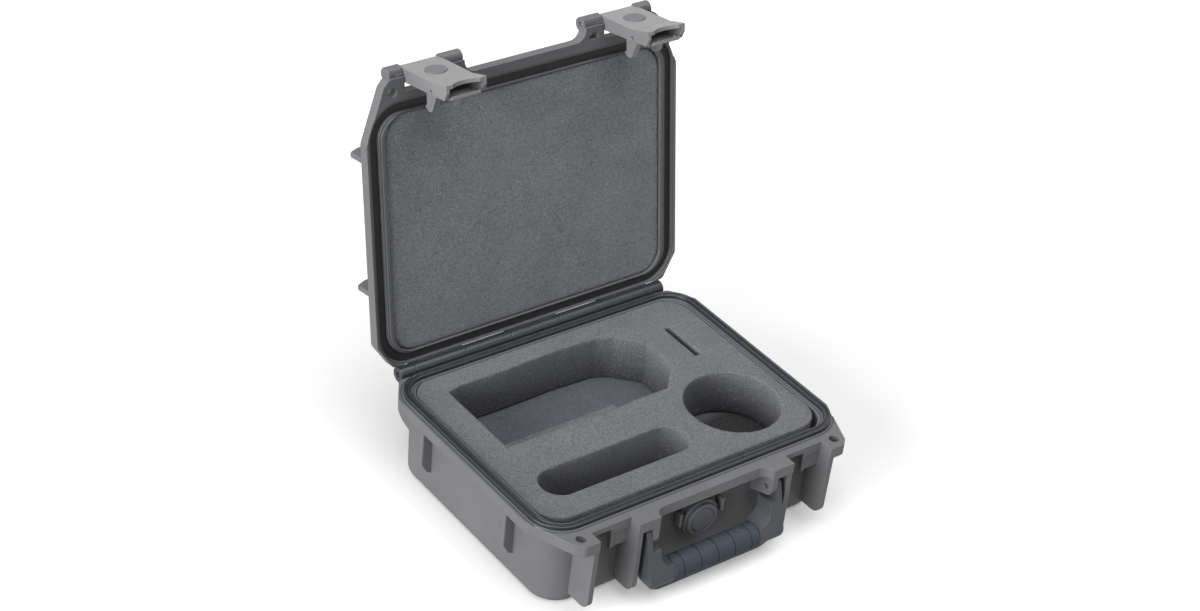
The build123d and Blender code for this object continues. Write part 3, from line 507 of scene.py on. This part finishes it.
def foam(name, base, cell, axis=None, low=0.0, high=0.0, dark=1.0):
    """Open-cell foam with painted glints; between two places on an axis a painted shade goes from dark to
    full.
    """
    material, build, place, shader = new_material(name)
    cells = group_node(build, foam_cells(), Vector=place, Cell=cell)
    shaded = build.mix(1.0, tuple(base), cells.outputs["Shade"], "MULTIPLY")
    # Painted shade along the axis: darker towards its low end
    if axis:
        split = build.add("ShaderNodeSeparateXYZ")
        build.link(place, split.inputs[0])
        depth = build.spread(split.outputs[axis], low, high, dark, 1.0)
        shaded = build.mix(1.0, shaded, depth, "MULTIPLY")
    # Painted glints: a few cell walls pulled towards a lighter copy of the foam colour
    glint_colour = tuple(min(1.0, c * 2.6) for c in base)
    painted_glints = build.mix(build.maths("MULTIPLY", cells.outputs["Glint"], 0.35), shaded, glint_colour)
    build.link(painted_glints, shader.inputs["Base Color"])
    shader.inputs["Roughness"].default_value = 0.95
    shader.inputs["Specular IOR Level"].default_value = 0.2
    shader.inputs["Sheen Weight"].default_value = 0.15
    shader.inputs["Sheen Roughness"].default_value = 0.6
    bump = build.add("ShaderNodeBump")
    bump.inputs["Strength"].default_value = 0.9
    bump.inputs["Distance"].default_value = 0.0004
    build.link(cells.outputs["Height"], bump.inputs["Height"])
    build.link(bump.outputs[0], shader.inputs["Normal"])
    return material


def steel(name, base):
    """Brushed pin steel."""
    material, build, place, shader = new_material(name)
    turn = build.add("ShaderNodeMapping")
    turn.inputs["Scale"].default_value = (40.0, 900.0, 900.0)
    build.link(place, turn.inputs["Vector"])
    lines = build.noise(turn.outputs[0], 1.0, 4.0)
    brushed = build.mix(build.spread(lines, 0.3, 0.7, 0.0, 1.0), tuple(c * 0.8 for c in base), tuple(base))
    build.link(brushed, shader.inputs["Base Color"])
    build.link(build.spread(lines, 0.3, 0.7, 0.24, 0.42), shader.inputs["Roughness"])
    shader.inputs["Metallic"].default_value = 1.0
    bump = build.add("ShaderNodeBump")
    bump.inputs["Distance"].default_value = 0.00001
    build.link(lines, bump.inputs["Height"])
    build.link(bump.outputs[0], shader.inputs["Normal"])
    return material


# Operators

class CASE_OT_stage(bpy.types.Operator):
    """Add the floor, the lamps, the surrounding light and the camera"""

    bl_idname = "case.stage"
    bl_label = "Studio"

    def execute(self, context):
        settings = context.scene.case_studio
        deselect()
        bpy.ops.mesh.primitive_plane_add(size=settings.reach, location=(0.0, 0.0, 0.0))
        floor = context.object
        floor.name = "studio_floor"
        floor.data.transform(floor.matrix_world)
        floor.matrix_world.identity()
        material, build, place, shader = new_material("studio_floor")
        cloud = build.noise(place, 3.0)
        pale = build.mix(cloud, tuple(settings.floor), tuple(c * 0.985 for c in settings.floor))
        thrown = tuple(c * settings.bounce for c in settings.floor)
        path = build.add("ShaderNodeLightPath")
        seen = build.mix(path.outputs["Is Camera Ray"], thrown, pale)
        build.link(seen, shader.inputs["Base Color"])
        shader.inputs["Roughness"].default_value = 0.9
        shader.inputs["Specular IOR Level"].default_value = 0.1
        shader.inputs["Emission Color"].default_value = (1.0, 1.0, 1.0, 1.0)
        shader.inputs["Emission Strength"].default_value = settings.lift
        floor.data.materials.append(material)

        for name, strength, angle, turn in (
            ("key_lamp", settings.key, KEY_SIZE, KEY_TURN),
            ("fill_lamp", settings.fill, FILL_SIZE, FILL_TURN),
        ):
            lamp = bpy.data.lights.new(name, "SUN")
            lamp.energy = strength
            lamp.angle = math.radians(angle)
            holder = bpy.data.objects.new(name, lamp)
            holder.rotation_euler = [math.radians(a) for a in turn]
            holder.location = (0.0, 0.0, LAMP_HEIGHT)
            context.scene.collection.objects.link(holder)

        world = bpy.data.worlds.new("studio_air")
        context.scene.world = world
        world.use_nodes = True
        tree = world.node_tree
        tree.nodes.clear()
        build = Tree(tree)
        path = build.add("ShaderNodeLightPath")
        seen = build.maths("ADD", path.outputs["Is Camera Ray"], path.outputs["Is Glossy Ray"], clamp=True)
        strength = build.add("ShaderNodeMix", data_type="FLOAT")
        build.link(seen, strength.inputs[0])
        strength.inputs[2].default_value = settings.air
        strength.inputs[3].default_value = 1.0
        glow = build.add("ShaderNodeBackground")
        build.link(strength.outputs[0], glow.inputs["Strength"])
        end = build.add("ShaderNodeOutputWorld")
        build.link(glow.outputs[0], end.inputs[0])

        lens = bpy.data.cameras.new("photo_camera")
        lens.lens = settings.lens
        lens.sensor_width = SENSOR_WIDTH
        lens.sensor_fit = "HORIZONTAL"
        lens.clip_start = 0.05
        lens.clip_end = 50.0
        camera = bpy.data.objects.new("photo_camera", lens)
        camera.location = CAMERA_PLACE
        camera.rotation_euler = [math.radians(a) for a in CAMERA_TURN]
        context.scene.collection.objects.link(camera)
        context.scene.camera = camera
        context.scene.view_settings.view_transform = "Standard"
        return {"FINISHED"}


class CASE_OT_shells(bpy.types.Operator):
    """Finish the moulded base and lid"""

    bl_idname = "case.shells"
    bl_label = "Shells"

    def execute(self, context):
        s = context.scene.case_shell
        pin_low, pin_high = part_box("hinge_pin")
        axis_point = (Vector(pin_low) + Vector(pin_high)) / 2
        axis_point.x = 0.0
        # Barrels and the base above the hinge axis: painted dark reflection in full; the lid's rim face:
        # painted shade at a share
        for node, normal, depth, limit, share in (
            ("base_shell", Vector((0.0, 0.0, 1.0)), 0.0, EVERY_FACE, 1.0),
            ("lid_shell", LID_FACE, LID_FACE_DEPTH, LID_FACE_LIMIT, LID_FACE_SHARE),
        ):
            polish_and_painted_shade = {
                "Axis Point": axis_point,
                "Barrel": BARREL_RADIUS,
                "Plane Normal": normal,
                "Depth": depth,
                "Face Limit": limit,
                "Face Share": share,
            }
            body = plastic(node + "_plastic", s.plastic, 0.46, s.grain, s.edge, polish_and_painted_shade=polish_and_painted_shade)
            finish_nodes([node], body)
        return {"FINISHED"}


class CASE_OT_latches(bpy.types.Operator):
    """Finish latches, their discs and triggers"""

    bl_idname = "case.latches"
    bl_label = "Latches"

    def execute(self, context):
        s = context.scene.case_shell
        # Latch colour: partly its own, partly a painted highlight
        body = plastic("latch_plastic", s.latch, 0.36, s.grain * 0.8, s.edge, coat=1.0)
        finish_nodes(["latch_left", "latch_right", "trigger_left", "trigger_right"], body)
        disc = plastic("disc_plastic", s.disc, 0.33, s.grain * 0.6, s.edge * 0.6)
        finish_nodes(["latch_disc_left", "latch_disc_right"], disc)
        return {"FINISHED"}


class CASE_OT_handle(bpy.types.Operator):
    """Finish the handle and its rubber grip"""

    bl_idname = "case.handle"
    bl_label = "Handle"

    def execute(self, context):
        s = context.scene.case_shell
        r = context.scene.case_rubber
        # Handle and grip colours: partly their own, partly painted shade
        finish_nodes(["handle_frame"], plastic("handle_plastic", s.handle, 0.42, s.grain, s.edge))
        grip = plastic("grip_rubber", r.grip, 0.62, s.grain * 1.5, s.edge, depth=0.00009,
                       wear=0.2, dust=0.2, gloss=0.35)
        finish_nodes(["handle_grip"], grip)
        return {"FINISHED"}


class CASE_OT_seals(bpy.types.Operator):
    """Finish the gasket, the O-ring and the valve"""

    bl_idname = "case.seals"
    bl_label = "Seals and valve"

    def execute(self, context):
        s = context.scene.case_shell
        r = context.scene.case_rubber
        seal = plastic("seal_rubber", r.seal, 0.55, s.grain, s.edge * 0.5, wear=0.1, dust=0.05)
        finish_nodes(["lid_gasket", "valve_oring"], seal)
        valve = plastic("valve_plastic", s.valve, 0.36, s.grain * 0.8, s.edge * 0.7)
        finish_nodes(["valve_body", "valve_cap", "valve_nut"], valve)
        membrane = plastic("membrane_cloth", MEMBRANE, 0.8, s.grain * 0.4, s.edge * 0.3, wear=0.0)
        finish_nodes(["valve_membrane"], membrane)
        return {"FINISHED"}


class CASE_OT_hardware(bpy.types.Operator):
    """Finish pins and springs"""

    bl_idname = "case.hardware"
    bl_label = "Hardware"

    def execute(self, context):
        s = context.scene.case_metal
        names = [n for n in NODES if "_pin" in n or "_spring" in n]
        finish_nodes(names, steel("pin_steel", s.steel))
        return {"FINISHED"}


def foam_piece(name, node, body, voxel, waves, material, seed):
    """Foam block that follows its CAD solid, with softened edges and slightly uneven faces."""
    piece = copy_of(node, name)
    remesh = piece.modifiers.new("cells", "REMESH")
    remesh.mode = "VOXEL"
    remesh.voxel_size = voxel
    apply_all(piece)
    smooth = piece.modifiers.new("soften", "SMOOTH")
    smooth.factor = 0.5
    smooth.iterations = 1
    bump = bpy.data.textures.new(name + "_waves", "CLOUDS")
    bump.noise_scale = WAVE_LENGTH + WAVE_LENGTH_STEP * seed
    bump.noise_depth = 3
    wave = piece.modifiers.new("waves", "DISPLACE")
    wave.texture = bump
    wave.texture_coords = "LOCAL"
    wave.strength = waves
    wave.mid_level = WAVE_LEVEL
    apply_all(piece)
    bpy.ops.object.shade_smooth()
    piece.data.materials.append(material)
    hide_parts(node)
    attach(piece, body)
    return piece


class CASE_OT_foam(bpy.types.Operator):
    """Cut foam of the base, the layer under it, the raised bar and the lid foam"""

    bl_idname = "case.foam"
    bl_label = "Foam"

    def execute(self, context):
        s = context.scene.case_foam
        voxel = s.voxel * 1.0
        upper = foam("upper_foam", s.upper, s.cell)
        # Cut foam: painted shade towards the bottom of the cuts
        cut = foam("cut_foam", s.upper, s.cell, "Z", BASE_LOW[2], BASE_HIGH[2], CUT_BOTTOM_PAINTED_SHADE)
        # Lower foam: painted shade where it lies in front of the edge in Y, under the hole and the slot
        lower = foam("lower_foam", s.lower, s.cell * 0.8, "Y", *DEEP_FLOOR_EDGE, DEEP_FLOOR_PAINTED_SHADE)
        # Lid foam: the upper foam's colour made lighter as painted light
        lid = foam("lid_foam", tuple(c * LID_FOAM_PAINTED_LIGHT for c in s.upper), s.cell)
        for seed, (name, node, body, mesh_share, wave_share, material, slot) in enumerate((
            ("cut_foam", "base_foam", "base", 1.0, 1.0, cut, "foam"),
            ("under_foam", "foam_floor", "base", 2.0, 1.0, lower, "foam_floor"),
            ("raised_foam", "pocket_riser", "base", 0.6, 0.6, upper, "foam"),
            ("lid_sheet_foam", "lid_foam", "lid", 1.4, 1.0, lid, "foam"),
        ), start=1):
            piece = foam_piece(
                name, node, body, voxel * mesh_share, s.softness * wave_share, material, seed
            )
        return {"FINISHED"}


class CASE_PT_panel(bpy.types.Panel):
    """Buttons for each group of pieces"""

    bl_idname = "CASE_PT_panel"
    bl_label = "Recorder case"
    bl_space_type = "VIEW_3D"
    bl_region_type = "UI"
    bl_category = "Recorder case"

    def draw(self, context):
        for operator in OPERATORS:
            self.layout.operator(operator.bl_idname)


OPERATORS = (
    CASE_OT_stage,
    CASE_OT_shells,
    CASE_OT_latches,
    CASE_OT_handle,
    CASE_OT_seals,
    CASE_OT_hardware,
    CASE_OT_foam,
)
GROUPS = (
    (ShellSettings, "case_shell"),
    (RubberSettings, "case_rubber"),
    (FoamSettings, "case_foam"),
    (MetalSettings, "case_metal"),
    (StudioSettings, "case_studio"),
)


def register():
    for group, name in GROUPS:
        bpy.utils.register_class(group)
        setattr(bpy.types.Scene, name, PointerProperty(type=group))
    for operator in OPERATORS:
        bpy.utils.register_class(operator)
    bpy.utils.register_class(CASE_PT_panel)


def unregister():
    bpy.utils.unregister_class(CASE_PT_panel)
    for operator in reversed(OPERATORS):
        bpy.utils.unregister_class(operator)
    for group, name in reversed(GROUPS):
        delattr(bpy.types.Scene, name)
        bpy.utils.unregister_class(group)


def main():
    register()
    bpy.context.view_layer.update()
    bpy.ops.case.stage()
    bpy.ops.case.shells()
    bpy.ops.case.latches()
    bpy.ops.case.handle()
    bpy.ops.case.seals()
    bpy.ops.case.hardware()
    bpy.ops.case.foam()
    deselect()


if __name__ == "__main__":
    main()
